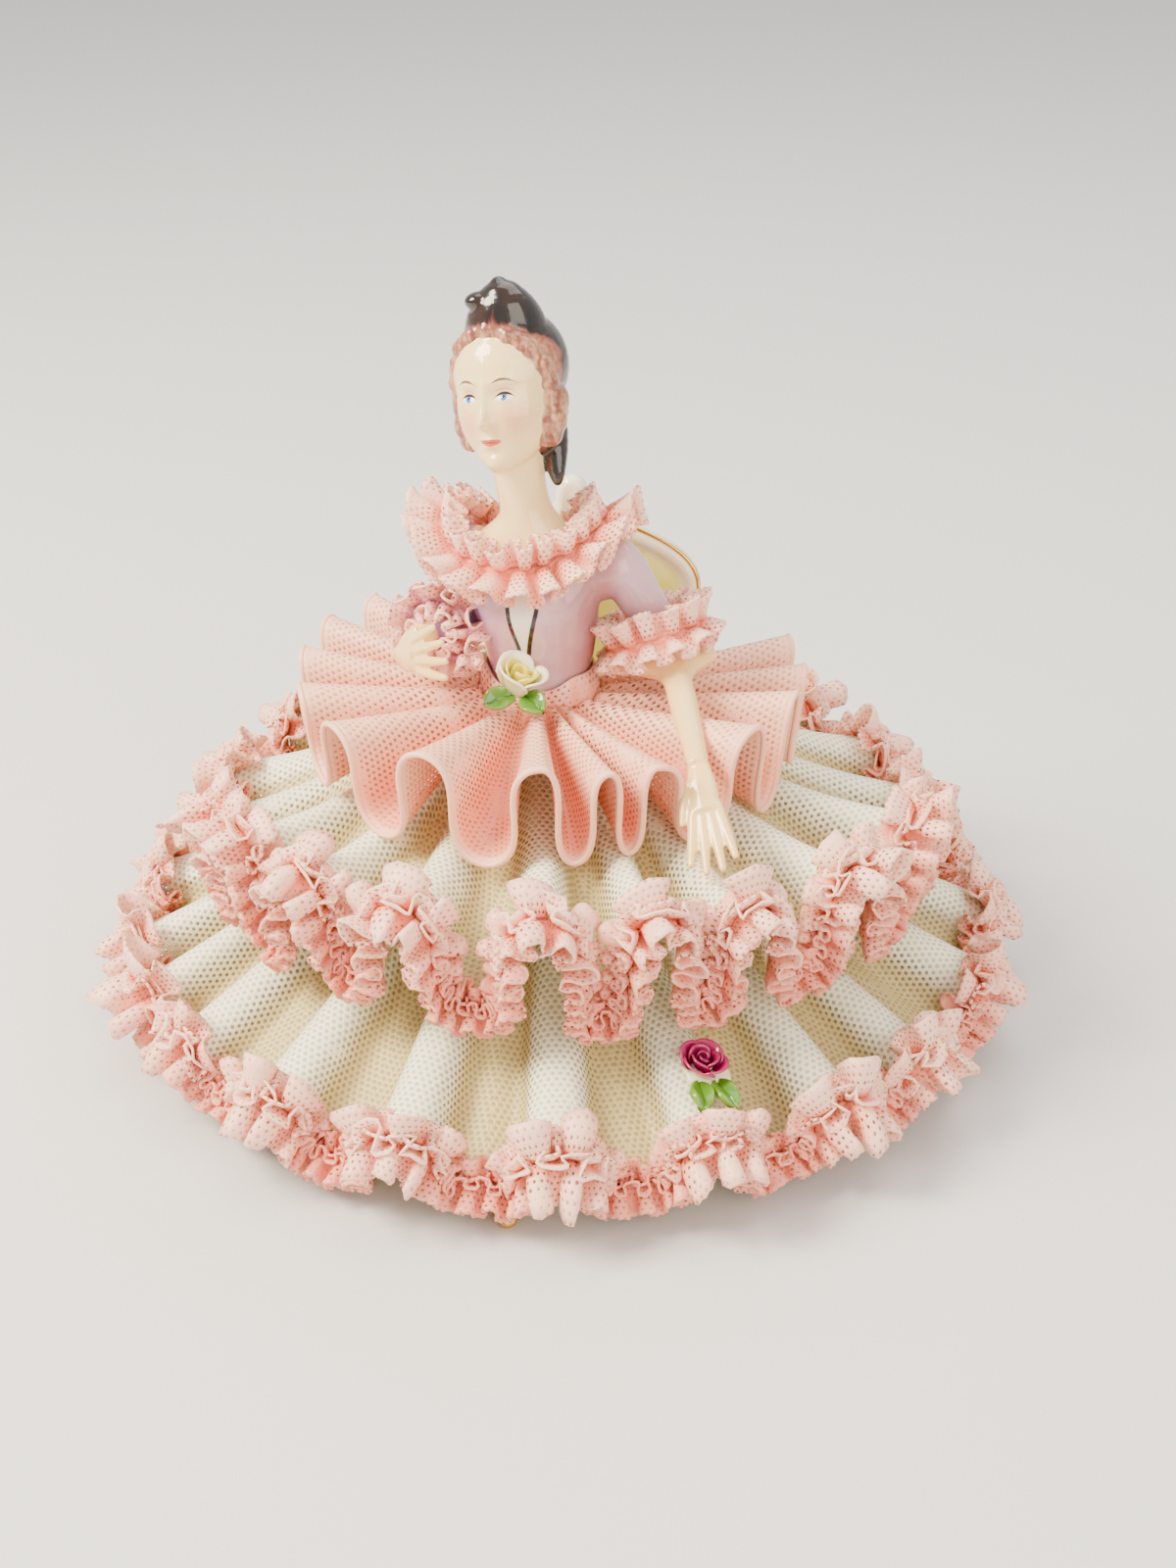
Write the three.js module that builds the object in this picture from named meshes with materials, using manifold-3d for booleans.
// A seated porcelain lady in a wide dress of porcelain-stiffened lace, about 150 mm high.
// Millimetres, +Z up, her front towards -Y. The origin is on the ground, in the middle of the skirt.
//
// The lady is one moulded figure: head, bust, arms, a plain underskirt and two slippers. She sits on a
// balloon-back chair of her own moulding. Over her go the lace pieces, each a pleated or gathered sheet:
// two skirt tiers with frilled hems, a peplum, a collar and two cuffs. Two small roses finish the dress.
import * as THREE from "three";
import { mergeVertices } from "three/addons/utils/BufferGeometryUtils.js";
import Module from "manifold-3d";

const wasm = await Module();
wasm.setup();

// Driving dimensions: the lace and the fits.
const CLEARANCE = 0.3; // between pieces that touch
const LACE_THICKNESS = 0.9;
const HEM_FRILL_OVER = 3; // how far a hem frill lies back over the sheet
const HEM_FRILL_BEYOND = 7; // how far it stands out past the hem
const HEM_FRILL_RISE = 2.8;
const HEM_FRILL_WAVE = 1.8;
const WAISTBAND_HEIGHT = 5;

// The lady's upright axis, a little left of the skirt's middle and ahead of it.
const BODY_X = -4;
const BODY_Y = -3;

// Heights, each measured from the one below it: the seat, her waist, her shoulders, her head, her hair.
const SEAT_HEIGHT = 44;
const WAIST_HEIGHT = SEAT_HEIGHT + 26;
const SHOULDER_HEIGHT = WAIST_HEIGHT + 28;
const HEAD_HEIGHT = SHOULDER_HEIGHT + 31.5; // the middle of the skull
const HAIR_TOP = HEAD_HEIGHT + 20.5;

// The underskirt, from the hips to the ground.
const HIP_HEIGHT = WAIST_HEIGHT - 4;
const UPPER_TIER_TOP = WAIST_HEIGHT - 10;
const LOWER_TIER_TOP = SEAT_HEIGHT + 3;
const UNDERSKIRT_WIDTH = 104;
const UNDERSKIRT_DEPTH = 128;

// The skirt tiers: the hem's radii are where its frill begins.
const LOWER_HEM_RADIUS = 88;
const LOWER_HEM_HEIGHT = 12;
const LOWER_FOLD_DEPTH = 5;
const UPPER_HEM_RADIUS_X = 71.5;
const UPPER_HEM_RADIUS_Y = 68;
const UPPER_HEM_HEIGHT = SEAT_HEIGHT - 2;
const UPPER_HEM_HEIGHT_BEHIND = SEAT_HEIGHT - 8;
const UPPER_FOLD_DEPTH = 10.5;
const UPPER_FOLD_DEPTH_BEHIND = 5.5;

// The peplum over the hips, open behind where the chair's back stands.
const PEPLUM_TOP = WAIST_HEIGHT - 2.5;
const PEPLUM_RADIUS_X = 50.5;
const PEPLUM_RADIUS_Y = 50;
const PEPLUM_HEM_HEIGHT = WAIST_HEIGHT - 8;
const PEPLUM_HEM_HEIGHT_BEHIND = WAIST_HEIGHT - 4.5;
const PEPLUM_FOLD_DEPTH = 10;
const PEPLUM_FOLD_DEPTH_BEHIND = 6;

// The bust and the head.
const WAIST_WIDTH = 20;
const WAIST_THICKNESS = 16;
const NECK_RADIUS = 4.7;
const HEAD_RADIUS = 11;

// The chair.
const SEAT_THICKNESS = 4;
const SEAT_WIDTH = 46;
const SEAT_FRONT = -22.5;
const SEAT_REAR = 26;
const CHAIR_BACK_FRONT = 20;
const CHAIR_BACK_THICKNESS = 4.5;
const CHAIR_BACK_WIDTH = 55;
const CHAIR_BACK_NECK_WIDTH = 30;
const CHAIR_BACK_TOP = SEAT_HEIGHT + 60;
const CHAIR_FRAME_WIDTH = 3.2;
const CHAIR_PANEL_DEPTH = 1.4;
const CHAIR_LEG_RADIUS = 2.6;

// The roses.
const WAIST_ROSE_RADIUS = 4.6;
const SKIRT_ROSE_RADIUS = 4;
const LEAF_LENGTH = 7;
const LEAF_WIDTH = 4.6;
const LEAF_THICKNESS = 1.5;

// Azimuths of the fold ridges on the side that shows, in degrees from +X; the rest are spread evenly.
const LOWER_RIDGES = [204, 217, 230, 248, 266, 285, 303, 321, 335, 356];
const LOWER_FOLDS = 20;
const UPPER_RIDGES = [204, 223, 241, 259, 282, 299, 313, 333, 354, 376];
const UPPER_FOLDS = 18;
const PEPLUM_RIDGES = [154, 173, 190, 208, 231, 258, 284, 298, 308, 334, 353, 371, 390];
// Facets round one fold; a hem frill keeps to the same ones, so that it stays clear of its sheet.
const FOLD_SEGMENTS = 6;
// The folds are deepest, and the hems change height, on the side that faces this azimuth.
const FRONT = 288;

const radians = THREE.MathUtils.degToRad;
const vector = (x, y, z) => new THREE.Vector3(x, y, z);
const UP = vector(0, 0, 1);

// Solids

// A closed geometry as a manifold solid, turned right side out.
function solid(geometry) {
  const bare = geometry.clone();
  bare.deleteAttribute("normal");
  bare.deleteAttribute("uv");
  const merged = mergeVertices(bare, 1e-4);
  const triVerts = new Uint32Array(merged.index.array);
  const vertProperties = new Float32Array(merged.attributes.position.array);
  const made = new wasm.Manifold(new wasm.Mesh({ numProp: 3, vertProperties, triVerts }));
  if (made.volume() > 0) return made;
  return new wasm.Manifold(new wasm.Mesh({ numProp: 3, vertProperties, triVerts: triVerts.reverse() }));
}

// A manifold solid as a geometry.
function geometryOf(shape) {
  const mesh = shape.getMesh();
  const geometry = new THREE.BufferGeometry();
  geometry.setAttribute("position", new THREE.BufferAttribute(mesh.vertProperties, 3));
  geometry.setIndex(new THREE.BufferAttribute(mesh.triVerts, 1));
  return geometry;
}

const joined = (shapes) => shapes.reduce((all, shape) => all.add(shape));

// A skin over a row of sections with equally many points, the first half of them on one face of a thin
// sheet and the second half on the other. Both faces are split along the same diagonals, so that they
// don't cross where the sheet twists. A closed row runs round a ring; an open one is capped at both ends.
function skin(sections, closed) {
  const count = sections.length;
  const points = sections[0].length;
  const positions = sections.flat().flatMap((p) => [p.x, p.y, p.z]);
  const index = [];
  const quad = (a, b, c, d) => index.push(a, b, c, a, c, d);
  const turnedQuad = (a, b, c, d) => index.push(a, b, d, b, c, d);
  for (let i = 0; i < (closed ? count : count - 1); i++) {
    const here = i * points;
    const next = ((i + 1) % count) * points;
    for (let j = 0; j < points; j++) {
      const k = (j + 1) % points;
      const split = j < points / 2 ? quad : turnedQuad;
      split(here + j, next + j, next + k, here + k);
    }
  }
  if (!closed) {
    const last = (count - 1) * points;
    for (let j = 0; j < points / 2 - 1; j++) {
      const k = points - 1 - j;
      quad(j, j + 1, k - 1, k);
      quad(last + k, last + k - 1, last + j + 1, last + j);
    }
  }
  const geometry = new THREE.BufferGeometry();
  geometry.setAttribute("position", new THREE.Float32BufferAttribute(positions, 3));
  geometry.setIndex(index);
  return solid(geometry);
}

// A cylinder bent and swelled along a list of stations, each with a centre, two half widths and their
// directions.
function loft(stations, sides) {
  const geometry = new THREE.CylinderGeometry(1, 1, stations.length - 1, sides, stations.length - 1);
  const position = geometry.attributes.position;
  for (let i = 0; i < position.count; i++) {
    const station = stations[Math.round(position.getY(i) + (stations.length - 1) / 2)];
    const across = station.wide.clone().multiplyScalar(position.getX(i) * station.rx);
    const through = station.deep.clone().multiplyScalar(position.getZ(i) * station.ry);
    const point = station.centre.clone().add(across).add(through);
    position.setXYZ(i, point.x, point.y, point.z);
  }
  return solid(geometry);
}

// Level oval sections up a body.
const level = (x, y, z, rx, ry) => ({
  centre: vector(x, y, z),
  wide: vector(1, 0, 0),
  deep: vector(0, 1, 0),
  rx,
  ry,
});

// A limb through points, with a radius at each and flattened by a share along one direction.
function limb(points, radii, sides, flatten = 1, flatTowards = UP) {
  const stations = points.map((point, i) => {
    const before = points[Math.max(i - 1, 0)];
    const after = points[Math.min(i + 1, points.length - 1)];
    const along = after.clone().sub(before).normalize();
    const wide = vector().crossVectors(along, flatTowards).normalize();
    const deep = vector().crossVectors(along, wide).normalize();
    return { centre: point, wide, deep, rx: radii[i], ry: radii[i] * flatten };
  });
  return loft(stations, sides);
}

// A ball stretched to three radii, turned, and set in its place.
function egg(centre, radii, across, down, turn = new THREE.Euler()) {
  const geometry = new THREE.SphereGeometry(1, across, down);
  geometry.rotateX(Math.PI / 2);
  geometry.scale(radii.x, radii.y, radii.z);
  geometry.applyMatrix4(new THREE.Matrix4().makeRotationFromEuler(turn));
  geometry.translate(centre.x, centre.y, centre.z);
  return solid(geometry);
}

// Lace

// A rounded oval at an azimuth: the squareness is 2 for an ellipse and more for fuller corners.
function oval(loop, azimuth) {
  const c = Math.cos(azimuth);
  const s = Math.sin(azimuth);
  const n = loop.square ?? 2;
  const reach = (Math.abs(c / loop.rx) ** n + Math.abs(s / loop.ry) ** n) ** (-1 / n);
  return vector(loop.x + reach * c, loop.y + reach * s, loop.z);
}

// A share that is 1 in front and 0 behind, with a soft change at the sides.
const frontness = (azimuth) => THREE.MathUtils.smoothstep(Math.cos(azimuth - radians(FRONT)), -0.1, 0.6);

// Ridge azimuths in radians, the hidden ones spread evenly over what is left of the turn.
function ridgesAllRound(shown, total) {
  const left = shown[0] + 360 - shown.at(-1);
  const hidden = total - shown.length;
  const rest = Array.from({ length: hidden }, (_, i) => shown.at(-1) + (left * (i + 1)) / (hidden + 1));
  return [...shown, ...rest].map(radians);
}

// The azimuth at a place counted in folds, between the ridges on either side.
function azimuthAt(ridges, place, closed) {
  const turn = closed ? 2 * Math.PI : 0;
  const count = ridges.length;
  const below = closed ? Math.floor(place) : Math.min(Math.max(Math.floor(place), 0), count - 2);
  const at = (i) => ridges[((i % count) + count) % count] + turn * Math.floor(i / count);
  return at(below) + (at(below + 1) - at(below)) * (place - below);
}

// A point of a pleated sheet. Place counts folds round it, with a ridge at each whole number, and t runs
// from 0 at the top edge to 1 at the hem. The folds deepen and round out into tubes towards the hem.
function pleat(sheet, place, t) {
  const phase = 2 * Math.PI * (place - Math.round(place));
  const open = t ** sheet.opening;
  const lean = (sheet.roundness * Math.sin(2 * phase) - sheet.narrowing * Math.sin(phase)) / (2 * Math.PI);
  const azimuth = azimuthAt(sheet.ridges, place + open * lean, sheet.closed);
  const top = oval(sheet.top, azimuth);
  const hem = oval(sheet.hem, azimuth);
  const swell = 1 + sheet.unevenness * Math.sin((2 * Math.PI * sheet.swells * place) / sheet.ridges.length);
  const front = frontness(azimuth);
  const hemDepth = THREE.MathUtils.lerp(sheet.depthBehind, sheet.depth, front);
  hem.z = THREE.MathUtils.lerp(sheet.heightBehind ?? hem.z, hem.z, front);
  const depth = (sheet.topDepth + (hemDepth - sheet.topDepth) * open) * swell * Math.cos(phase);
  const point = top.clone().lerp(hem, t);
  point.z = top.z + (hem.z - top.z) * t ** sheet.drop + depth;
  point.x += sheet.splay * depth * Math.cos(azimuth);
  point.y += sheet.splay * depth * Math.sin(azimuth);
  return point;
}

// The frame at a place on a pleated sheet: the point, the ways along and round it, and the upper face's
// normal.
function pleatFrame(sheet, place, t) {
  const step = 0.02;
  const point = pleat(sheet, place, t);
  const outward = point.clone().sub(pleat(sheet, place, t - step)).normalize();
  const round = pleat(sheet, place + step, t).sub(pleat(sheet, place - step, t)).normalize();
  const normal = vector().crossVectors(outward, round).normalize();
  return { point, outward, round, normal };
}

// A waistband stands up from the sheet's top edge.
function bandFrame(sheet, place) {
  const azimuth = azimuthAt(sheet.ridges, place, sheet.closed);
  const point = oval({ ...sheet.top, z: sheet.top.z + WAISTBAND_HEIGHT }, azimuth);
  return { point, normal: vector(Math.cos(azimuth), Math.sin(azimuth), 0) };
}

// The sheet itself, as thick as fired lace.
function pleatedSheet(sheet, segmentsPerFold, rows) {
  const folds = sheet.closed ? sheet.ridges.length : sheet.ridges.length - 1;
  const count = folds * segmentsPerFold + (sheet.closed ? 0 : 1);
  const half = LACE_THICKNESS / 2;
  const start = 0.02;
  const sections = Array.from({ length: count }, (_, i) => {
    const place = i / segmentsPerFold;
    const faces = Array.from({ length: rows + 1 }, (_, j) =>
      pleatFrame(sheet, place, start + (1 - start) * (j / rows)),
    );
    if (sheet.waistband) faces.unshift(bandFrame(sheet, place));
    const over = faces.map((f) => f.point.clone().addScaledVector(f.normal, half));
    const under = faces.map((f) => f.point.clone().addScaledVector(f.normal, -half));
    return [...over, ...under.reverse()];
  });
  return skin(sections, sheet.closed);
}

// The frill round a tier's hem, gathered along the edge: one side lies back over the sheet, the other
// stands out past it. It bunches up on the ridges of the folds.
function hemFrill(sheet, wavesPerFold) {
  const steps = 2 * wavesPerFold;
  const under = LACE_THICKNESS / 2 + CLEARANCE;
  const sections = Array.from({ length: sheet.ridges.length * steps }, (_, i) => {
    const place = i / steps;
    const frame = pleatFrame(sheet, place, 1);
    const bunch = 1 + 0.25 * Math.cos(2 * Math.PI * place);
    const swing = (i % 2 ? -1 : 1) * HEM_FRILL_WAVE;
    const at = (along, off) =>
      frame.point.clone().addScaledVector(frame.outward, along).addScaledVector(frame.normal, off);
    return [
      at(-HEM_FRILL_OVER, HEM_FRILL_RISE + swing / 3),
      at(CLEARANCE, (HEM_FRILL_RISE + LACE_THICKNESS) * bunch),
      at(HEM_FRILL_BEYOND, -swing),
      at(HEM_FRILL_BEYOND / 2, -under),
    ];
  });
  return skin(sections, true);
}

// A strip gathered along its middle into a frill round an oval: bent in section, with two edges that
// wave. It leans from the oval's plane by one angle in front and behind and by another at the sides,
// where the ring also rises.
function ringFrill(ring, waves) {
  const axis = vector().crossVectors(ring.wide, ring.deep);
  const sections = Array.from({ length: waves * 2 }, (_, i) => {
    const angle = (Math.PI * i) / waves;
    const s = Math.sin(angle);
    const away = s < ring.crest ? (ring.crest - s) / (1 + ring.crest) : (s - ring.crest) / (1 - ring.crest);
    const side = 1 - away ** 2;
    const spoke = ring.wide.clone().multiplyScalar(Math.cos(angle) * ring.rx);
    spoke.addScaledVector(ring.deep, s * ring.ry);
    const point = ring.centre.clone().add(spoke).addScaledVector(axis, ring.lift * side);
    const out = spoke.normalize();
    const flare = THREE.MathUtils.lerp(ring.flare, ring.sideFlare, side);
    const outward = out.clone().multiplyScalar(Math.cos(flare)).addScaledVector(axis, -Math.sin(flare));
    const normal = out.clone().multiplyScalar(Math.sin(flare)).addScaledVector(axis, Math.cos(flare));
    const bend = ring.bend * side;
    const swing = (i % 2 ? -1 : 1) * ring.wave;
    const at = (along, off) => point.clone().addScaledVector(outward, along).addScaledVector(normal, off);
    return [
      at(-ring.width / 2, swing / 2 + bend),
      at(0, ring.thickness / 2),
      at(ring.width / 2, bend / 3 - swing),
      at(0, -ring.thickness / 2),
    ];
  });
  return skin(sections, true);
}

const hips = { x: BODY_X, y: 8, z: UPPER_TIER_TOP, rx: 24, ry: 23.5, square: 3 };
const seatRim = { x: BODY_X + 1, y: 5, z: LOWER_TIER_TOP, rx: 30, ry: 31, square: 2.6 };

const lowerSkirt = {
  closed: true,
  ridges: ridgesAllRound(LOWER_RIDGES, LOWER_FOLDS),
  top: { ...seatRim, z: LOWER_TIER_TOP + 1.5 },
  hem: { x: 0, y: 0, z: LOWER_HEM_HEIGHT, rx: LOWER_HEM_RADIUS, ry: LOWER_HEM_RADIUS },
  drop: 0.7,
  depth: LOWER_FOLD_DEPTH,
  depthBehind: LOWER_FOLD_DEPTH * 0.8,
  topDepth: 0.8,
  opening: 0.9,
  roundness: 0.42,
  narrowing: 0.35,
  splay: 0.35,
  unevenness: 0.12,
  swells: 7,
};

const upperSkirt = {
  closed: true,
  ridges: ridgesAllRound(UPPER_RIDGES, UPPER_FOLDS),
  top: { ...hips, z: UPPER_TIER_TOP + 2 },
  hem: { x: 1, y: 0, z: UPPER_HEM_HEIGHT, rx: UPPER_HEM_RADIUS_X, ry: UPPER_HEM_RADIUS_Y },
  heightBehind: UPPER_HEM_HEIGHT_BEHIND,
  drop: 0.65,
  depth: UPPER_FOLD_DEPTH,
  depthBehind: UPPER_FOLD_DEPTH_BEHIND,
  topDepth: 0.5,
  opening: 2.2,
  roundness: 0.45,
  narrowing: 0.35,
  splay: 0.15,
  unevenness: 0.1,
  swells: 5,
};

const waistFit = CLEARANCE + LACE_THICKNESS / 2 + 0.9;
const waistSeat = {
  x: BODY_X,
  y: BODY_Y,
  z: PEPLUM_TOP,
  rx: WAIST_WIDTH / 2 + waistFit,
  ry: WAIST_THICKNESS / 2 + waistFit,
};

const peplumSheet = {
  closed: false,
  ridges: PEPLUM_RIDGES.map(radians),
  top: waistSeat,
  hem: { x: -3, y: 2, z: PEPLUM_HEM_HEIGHT, rx: PEPLUM_RADIUS_X, ry: PEPLUM_RADIUS_Y },
  heightBehind: PEPLUM_HEM_HEIGHT_BEHIND,
  waistband: true,
  drop: 1.1,
  depth: PEPLUM_FOLD_DEPTH,
  depthBehind: PEPLUM_FOLD_DEPTH_BEHIND,
  topDepth: 0.4,
  opening: 1.15,
  roundness: 0.55,
  narrowing: 0.1,
  splay: 0.1,
  unevenness: 0.12,
  swells: 3,
};

// The chair

// The balloon back's outline, from a narrow neck at the seat to round shoulders and a small crest.
function balloon(inset) {
  const half = CHAIR_BACK_WIDTH / 2 - inset;
  const neck = CHAIR_BACK_NECK_WIDTH / 2 - inset;
  const foot = SEAT_HEIGHT - SEAT_THICKNESS / 2 + (inset ? 14 : 0);
  const top = CHAIR_BACK_TOP - inset;
  const middle = (SEAT_HEIGHT + CHAIR_BACK_TOP) / 2 + 6;
  const shape = new THREE.Shape();
  shape.moveTo(-neck, foot);
  shape.lineTo(neck, foot);
  shape.bezierCurveTo(neck, middle - 8, half, middle - 12, half, middle + 2);
  shape.bezierCurveTo(half, top - 12, half / 2, top - 10, half / 10, top - 6);
  shape.quadraticCurveTo(half / 9, top, 0, top);
  shape.quadraticCurveTo(-half / 9, top, -half / 10, top - 6);
  shape.bezierCurveTo(-half / 2, top - 10, -half, top - 12, -half, middle + 2);
  shape.bezierCurveTo(-half, middle - 12, -neck, middle - 8, -neck, foot);
  return shape;
}

// An outline drawn in X and Z, extruded from one Y to another.
function upright(shape, front, depth) {
  const geometry = new THREE.ExtrudeGeometry(shape, { depth, bevelEnabled: false, curveSegments: 4 });
  geometry.rotateX(Math.PI / 2);
  geometry.translate(BODY_X, front + depth, 0);
  return solid(geometry);
}

function block(x0, x1, y0, y1, z0, z1) {
  const geometry = new THREE.BoxGeometry(x1 - x0, y1 - y0, z1 - z0);
  geometry.translate((x0 + x1) / 2, (y0 + y1) / 2, (z0 + z1) / 2);
  return solid(geometry);
}

function chair() {
  const back = upright(balloon(0), CHAIR_BACK_FRONT, CHAIR_BACK_THICKNESS);
  const hollow = upright(balloon(CHAIR_FRAME_WIDTH), CHAIR_BACK_FRONT - 1, 1 + CHAIR_PANEL_DEPTH);
  const half = SEAT_WIDTH / 2;
  const seat = block(
    BODY_X - half,
    BODY_X + half,
    SEAT_FRONT,
    SEAT_REAR,
    SEAT_HEIGHT - SEAT_THICKNESS,
    SEAT_HEIGHT,
  );
  const inset = CHAIR_LEG_RADIUS + 1;
  const legs = [-1, 1].flatMap((side) =>
    [SEAT_FRONT + inset, SEAT_REAR - inset].map((y) => {
      const x = BODY_X + side * (half - inset);
      const top = SEAT_HEIGHT - SEAT_THICKNESS / 2;
      return loft(
        [
          level(x + side, y, 0, CHAIR_LEG_RADIUS, CHAIR_LEG_RADIUS),
          level(x - side * 0.8, y, top * 0.25, CHAIR_LEG_RADIUS * 0.62, CHAIR_LEG_RADIUS * 0.62),
          level(x, y, top * 0.7, CHAIR_LEG_RADIUS, CHAIR_LEG_RADIUS),
          level(x, y, top, CHAIR_LEG_RADIUS * 1.3, CHAIR_LEG_RADIUS * 1.3),
        ],
        6,
      );
    }),
  );
  return joined([back.subtract(hollow), seat, ...legs]);
}

// The lady

// The underskirt's sections keep just inside the tiers that rest on it.
function underskirt() {
  const sides = 24;
  const fit = CLEARANCE + LACE_THICKNESS / 2 + 1.2;
  const ground = { x: 0, y: 0, z: 0, rx: UNDERSKIRT_WIDTH / 2, ry: UNDERSKIRT_DEPTH / 2, square: 2 };
  const waist = {
    x: BODY_X,
    y: BODY_Y,
    z: HIP_HEIGHT,
    rx: WAIST_WIDTH / 2 + 1.5,
    ry: WAIST_THICKNESS / 2 + 1.5,
  };
  const loops = [ground, seatRim, hips, waist].map((loop, i) => {
    const slack = i === 1 || i === 2 ? fit : 0;
    return { ...loop, rx: loop.rx - slack, ry: loop.ry - slack };
  });
  const geometry = new THREE.CylinderGeometry(1, 1, 3, sides, 3);
  const position = geometry.attributes.position;
  for (let i = 0; i < position.count; i++) {
    const loop = loops[Math.round(position.getY(i) + 1.5)];
    const x = position.getX(i);
    const z = position.getZ(i);
    const onRim = Math.hypot(x, z) > 0.5;
    const point = onRim ? oval(loop, Math.atan2(z, x)) : vector(loop.x, loop.y, loop.z);
    position.setXYZ(i, point.x, point.y, point.z);
  }
  const beyond = 100;
  const seatSpace = block(
    BODY_X - SEAT_WIDTH / 2 - 2,
    BODY_X + SEAT_WIDTH / 2 + 2,
    SEAT_FRONT - 1,
    beyond,
    -1,
    SEAT_HEIGHT + CLEARANCE,
  );
  const behind = block(-beyond, beyond, CHAIR_BACK_FRONT - 1.5, beyond, -1, beyond);
  return solid(geometry).subtract(seatSpace).subtract(behind);
}

function bust() {
  const wide = WAIST_WIDTH / 2;
  const deep = WAIST_THICKNESS / 2;
  return loft(
    [
      level(BODY_X, BODY_Y, HIP_HEIGHT - 2, wide + 1, deep + 1),
      level(BODY_X, BODY_Y, WAIST_HEIGHT, wide, deep),
      level(BODY_X, BODY_Y, WAIST_HEIGHT + 8, wide * 1.14, deep * 1.2),
      level(BODY_X - 0.5, BODY_Y - 0.8, WAIST_HEIGHT + 16, wide * 1.28, deep * 1.4),
      level(BODY_X - 0.8, BODY_Y, SHOULDER_HEIGHT - 6, wide * 1.4, deep * 1.25),
      level(BODY_X - 1.2, BODY_Y + 1, SHOULDER_HEIGHT - 1, wide * 1.4, deep),
      level(BODY_X - 1.8, BODY_Y + 1, SHOULDER_HEIGHT + 3, wide * 0.85, deep * 0.8),
      level(BODY_X - 2.4, BODY_Y + 1, SHOULDER_HEIGHT + 6.5, NECK_RADIUS * 1.15, NECK_RADIUS * 1.15),
      level(BODY_X - 3.6, BODY_Y + 0.8, SHOULDER_HEIGHT + 12, NECK_RADIUS, NECK_RADIUS),
      level(BODY_X - 4.8, BODY_Y + 0.8, HEAD_HEIGHT - 9, NECK_RADIUS, NECK_RADIUS),
    ],
    12,
  );
}

const headCentre = vector(BODY_X - 5.6, BODY_Y, HEAD_HEIGHT);
const headTurn = new THREE.Euler(radians(-8), 0, radians(-8), "ZXY");
// A point of the head, from its own right, front-to-back and up, as shares of its radius.
const onHead = (x, y, z) => vector(x, y, z).multiplyScalar(HEAD_RADIUS).applyEuler(headTurn).add(headCentre);

function head() {
  const r = HEAD_RADIUS;
  const at = (x, y, z, rx, ry, rz, across, down) =>
    egg(onHead(x, y, z), vector(rx, ry, rz).multiplyScalar(r), across, down, headTurn);
  const skull = at(0, 0.16, 0.12, 0.94, 1, 1.06, 12, 7);
  const face = at(0, -0.3, -0.3, 0.7, 0.7, 1, 10, 7);
  const nose = limb([onHead(0, -0.84, 0), onHead(0, -1.1, -0.36)], [0.06 * r, 0.13 * r], 4);
  const sideRolls = [-1, 1].map((side) => at(side * 0.74, -0.12, -0.32, 0.26, 0.44, 0.64, 6, 5));
  const nape = limb([onHead(0.15, 0.8, -0.3), onHead(0.4, 0.62, -1.3)], [0.4 * r, 0.2 * r], 6);
  const tip = vector(headCentre.x - 1.6, headCentre.y + 1, HAIR_TOP);
  const below = (drop) => tip.clone().add(vector(drop * 0.1, drop * 0.1, -drop));
  const crown = limb(
    [onHead(0, 0.2, 0.4), onHead(0, 0.2, 0.95), below(5), below(2.4), tip],
    [0.88 * r, 0.74 * r, 0.44 * r, 0.26 * r, 0.1 * r],
    10,
  );
  return joined([skull, face, nose, ...sideRolls, nape, crown]);
}

// A hand: a flat palm, four fingers fanned across it and a thumb set off to one side.
function hand(wrist, knuckles, across, span, fingerLength, spread, thumbSide, curl) {
  const along = knuckles.clone().sub(wrist).normalize();
  const over = vector().crossVectors(across, along).normalize();
  const palm = limb(
    [wrist, wrist.clone().lerp(knuckles, 0.5), knuckles],
    [span * 0.3, span * 0.5, span * 0.52],
    6,
    0.48,
    over,
  );
  const fingers = [-1.5, -0.5, 0.5, 1.5].map((slot) => {
    const root = knuckles.clone().addScaledVector(across, (slot * span) / 4.4).addScaledVector(along, -0.6);
    const reach = fingerLength * (1 - 0.07 * slot * slot);
    const way = along.clone().addScaledVector(across, slot * spread).normalize();
    const tip = root.clone().addScaledVector(way, reach).addScaledVector(over, -curl);
    return limb([root, tip], [1.05, 0.6], 4);
  });
  const thumbRoot = wrist.clone().lerp(knuckles, 0.4).addScaledVector(across, thumbSide * span * 0.3);
  const thumbTip = thumbRoot
    .clone()
    .addScaledVector(along, fingerLength * 0.62)
    .addScaledVector(across, thumbSide * 3);
  return joined([palm, ...fingers, limb([thumbRoot, thumbTip], [1.2, 0.6], 4)]);
}

// Her left arm, on the viewer's right: a sleeve that opens out at the elbow, and a bare forearm that
// passes over the peplum, with the hand before the skirt.
const leftShoulder = vector(BODY_X + 16, BODY_Y + 3, SHOULDER_HEIGHT - 4.5);
const leftElbow = vector(BODY_X + 23.8, BODY_Y + 4, SHOULDER_HEIGHT - 17);
const leftWrist = vector(BODY_X + 38.2, BODY_Y - 25.5, PEPLUM_HEM_HEIGHT + 5.5);
const leftKnuckles = vector(BODY_X + 41.4, BODY_Y - 33, PEPLUM_HEM_HEIGHT);
// Her right arm: bent at the elbow, with the hand held before her waist.
const rightShoulder = vector(BODY_X - 16, BODY_Y + 3, SHOULDER_HEIGHT - 4.5);
const rightElbow = vector(BODY_X - 18.5, BODY_Y + 7, SHOULDER_HEIGHT - 16);
const rightWrist = vector(BODY_X - 23.2, BODY_Y - 16.5, SHOULDER_HEIGHT - 19.5);
const rightKnuckles = vector(BODY_X - 18.4, BODY_Y - 20.5, SHOULDER_HEIGHT - 16.8);

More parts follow.
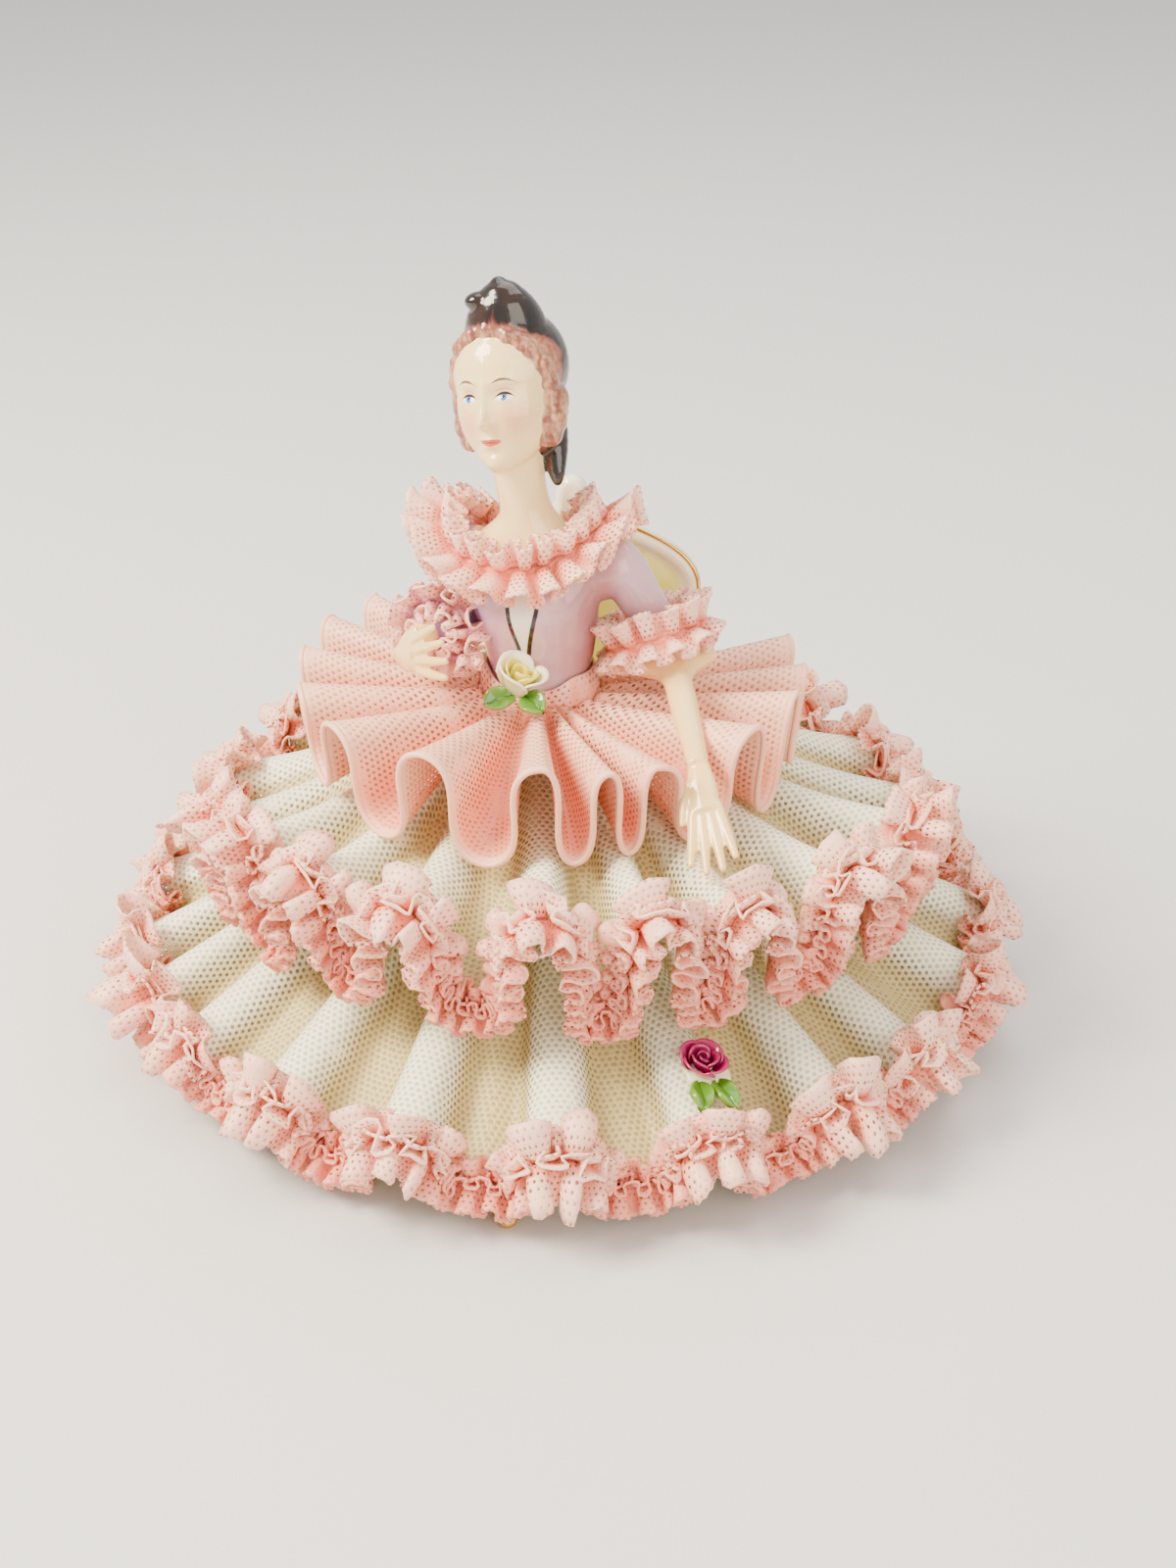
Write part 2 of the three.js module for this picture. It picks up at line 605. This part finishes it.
function arms() {
  const bell = leftElbow.clone().add(vector(3.2, -4.5, -4.2));
  const forearm = bell.clone().lerp(leftWrist, 0.34).add(vector(0, 0, 1.2));
  return joined([
    limb([leftShoulder, leftShoulder.clone().lerp(leftElbow, 0.5), leftElbow], [5.4, 4.5, 4], 8),
    limb([leftElbow, bell, forearm, leftWrist], [4.4, 8.6, 3.1, 2], 8, 0.42),
    hand(leftWrist, leftKnuckles, vector(0.94, 0.2, 0.27).normalize(), 6.4, 13, 0.16, -1, 0),
    limb([rightShoulder, rightShoulder.clone().lerp(rightElbow, 0.5), rightElbow], [5.4, 4.5, 4], 8),
    limb([rightElbow.clone().add(vector(0.4, 2, 0)), rightWrist], [4, 2.1], 8),
    hand(rightWrist, rightKnuckles, vector(-0.3, 0.25, 0.92).normalize(), 6.6, 9.5, 0.2, 1, -0.5),
  ]);
}

// A slipper: its toe peeps out under the hem.
function slipper(x, turn, toe) {
  const heel = UNDERSKIRT_DEPTH / 2 - 12;
  const along = (y, rise, rx, ry) => level(x + (turn * (y - heel)) / 30, -y, rise, rx, ry);
  const stations = [
    along(heel, 3.4, 3.6, 3.4),
    along((heel + toe) / 2, 2.7, 3.9, 2.7),
    along(toe - 5, 2.2, 3.4, 2.2),
    along(toe, 1.6, 1.4, 1.6),
  ].map((station) => ({ ...station, deep: UP }));
  const sole = block(-100, 100, -200, 0, -10, 0);
  return loft(stations, 7).subtract(sole);
}

function lady() {
  return joined([underskirt(), bust(), head(), arms(), slipper(5, 7, 88), slipper(-13, -3, 84)]);
}

// The roses

// A rose: a rounded bud wound in overlapping lobes, open to the given direction.
function rose(centre, facing, radius) {
  const petals = 5;
  const geometry = new THREE.SphereGeometry(1, 15, 6);
  const position = geometry.attributes.position;
  for (let i = 0; i < position.count; i++) {
    const p = vector().fromBufferAttribute(position, i);
    const angle = Math.atan2(p.z, p.x);
    const height = p.y;
    const onAxis = Math.hypot(p.x, p.z) < 1e-6;
    const lobe = onAxis ? 1 : 1 + 0.16 * Math.cos(petals * (angle + height));
    const dip = Math.max(0, height - 0.8) * 2.2;
    p.set(p.x * lobe, height * 0.72 - dip, p.z * lobe).multiplyScalar(radius);
    position.setXYZ(i, p.x, p.y, p.z);
  }
  geometry.applyQuaternion(new THREE.Quaternion().setFromUnitVectors(vector(0, 1, 0), facing));
  geometry.translate(centre.x, centre.y, centre.z);
  return solid(geometry);
}

// A leaf: a flat pointed oval from its stem, lying across a surface with the given normal.
function leaf(stem, direction, normal) {
  const side = vector().crossVectors(direction, normal).normalize();
  const widths = [0.25, 0.95, 0.85, 0.12];
  const stations = widths.map((share, i) => ({
    centre: stem.clone().addScaledVector(direction, (LEAF_LENGTH * i) / (widths.length - 1)),
    wide: side,
    deep: normal,
    rx: (LEAF_WIDTH / 2) * share,
    ry: (LEAF_THICKNESS / 2) * (0.4 + 0.6 * share),
  }));
  return loft(stations, 4);
}

const waistRoseFacing = vector(0.1, -0.9, 0.42).normalize();
const waistRoseCentre = vector(BODY_X - 0.6, BODY_Y - WAIST_THICKNESS / 2 - 5.2, WAIST_HEIGHT + 5);

function waistLeaf(side) {
  const stem = waistRoseCentre.clone().add(vector(side * 2 - 0.7, -1.2, -WAIST_ROSE_RADIUS + 0.4));
  return leaf(stem, vector(side, -0.5, -0.2).normalize(), vector(0, -0.4, 0.9).normalize());
}

const roseFrame = pleatFrame(lowerSkirt, LOWER_RIDGES.indexOf(303) + 0.04, 0.79);
const skirtRoseCentre = roseFrame.point
  .clone()
  .addScaledVector(roseFrame.normal, SKIRT_ROSE_RADIUS * 0.72 + LACE_THICKNESS / 2 + CLEARANCE);

function skirtLeaf(side) {
  const stem = skirtRoseCentre
    .clone()
    .addScaledVector(roseFrame.outward, SKIRT_ROSE_RADIUS * 0.95)
    .addScaledVector(roseFrame.round, side * (LEAF_WIDTH / 2 + CLEARANCE));
  const direction = roseFrame.outward.clone().addScaledVector(roseFrame.round, side * 0.25).normalize();
  return leaf(stem, direction, roseFrame.normal);
}

// The collar lies down on the chest and the back and stands up at the sides of the neck; the cuffs go
// round the elbows.
const collarRing = {
  centre: vector(BODY_X - 2.4, BODY_Y + 1.5, SHOULDER_HEIGHT - 3.7),
  wide: vector(1, 0, 0),
  deep: vector(0, 1, 0),
  rx: 17.5,
  ry: 12.5,
  lift: 7.5,
  crest: 0.35,
  flare: radians(58),
  sideFlare: radians(-35),
  bend: 4.5,
  width: 11.5,
  wave: 1.9,
  thickness: 2.4,
};
const leftCuffRing = {
  centre: leftElbow.clone().add(vector(0.4, -0.4, 0.7)),
  wide: vector(0.99, 0.05, 0.12).normalize(),
  deep: vector(-0.08, 0.97, -0.22).normalize(),
  rx: 9.3,
  ry: 9.8,
  lift: 0,
  crest: 0,
  flare: radians(48),
  sideFlare: radians(55),
  bend: 1,
  width: 8,
  wave: 1.8,
  thickness: 2,
};
const rightCuffRing = {
  centre: rightElbow.clone().lerp(rightWrist, 0.53).add(vector(-0.4, -0.2, 0.9)),
  wide: vector(0.98, -0.18, 0).normalize(),
  deep: vector(0.02, 0.12, 0.99).normalize(),
  rx: 7.5,
  ry: 7,
  lift: 0,
  crest: 0,
  flare: radians(-15),
  sideFlare: radians(-15),
  bend: 1,
  width: 6,
  wave: 1.8,
  thickness: 2,
};

// Finishes

const finish = (color, roughness) => new THREE.MeshStandardMaterial({ color, roughness, metalness: 0 });
const IVORY_GLAZE = finish(0xf3e9d2, 0.15);
const CHAIR_GLAZE = finish(0xe9e8c4, 0.15);
const WHITE_LACE = finish(0xf2eee0, 0.55);
const PINK_LACE = finish(0xf0bfae, 0.5);
const YELLOW_PETAL = finish(0xf4efc0, 0.2);
const CRIMSON_PETAL = finish(0xa8195a, 0.2);
const LEAF_GREEN = finish(0x5d9c2c, 0.2);

const figurine = new THREE.Group();

function place(name, shape, material) {
  const mesh = new THREE.Mesh(geometryOf(shape), material);
  mesh.name = name;
  figurine.add(mesh);
}

place("lady", lady(), IVORY_GLAZE);
place("chair", chair(), CHAIR_GLAZE);
place("lower_skirt", pleatedSheet(lowerSkirt, FOLD_SEGMENTS, 2), WHITE_LACE);
place("lower_skirt_frill", hemFrill(lowerSkirt, FOLD_SEGMENTS / 2), PINK_LACE);
place("upper_skirt", pleatedSheet(upperSkirt, FOLD_SEGMENTS, 2), WHITE_LACE);
place("upper_skirt_frill", hemFrill(upperSkirt, FOLD_SEGMENTS / 2), PINK_LACE);
place("peplum", pleatedSheet(peplumSheet, FOLD_SEGMENTS, 2), PINK_LACE);
place("collar", ringFrill(collarRing, 26), PINK_LACE);
place("left_cuff", ringFrill(leftCuffRing, 14), PINK_LACE);
place("right_cuff", ringFrill(rightCuffRing, 13), PINK_LACE);
place("waist_rose", rose(waistRoseCentre, waistRoseFacing, WAIST_ROSE_RADIUS), YELLOW_PETAL);
place("waist_leaf_left", waistLeaf(1), LEAF_GREEN);
place("waist_leaf_right", waistLeaf(-1), LEAF_GREEN);
place("skirt_rose", rose(skirtRoseCentre, roseFrame.normal, SKIRT_ROSE_RADIUS), CRIMSON_PETAL);
place("skirt_leaf_left", skirtLeaf(1), LEAF_GREEN);
place("skirt_leaf_right", skirtLeaf(-1), LEAF_GREEN);

export default figurine;
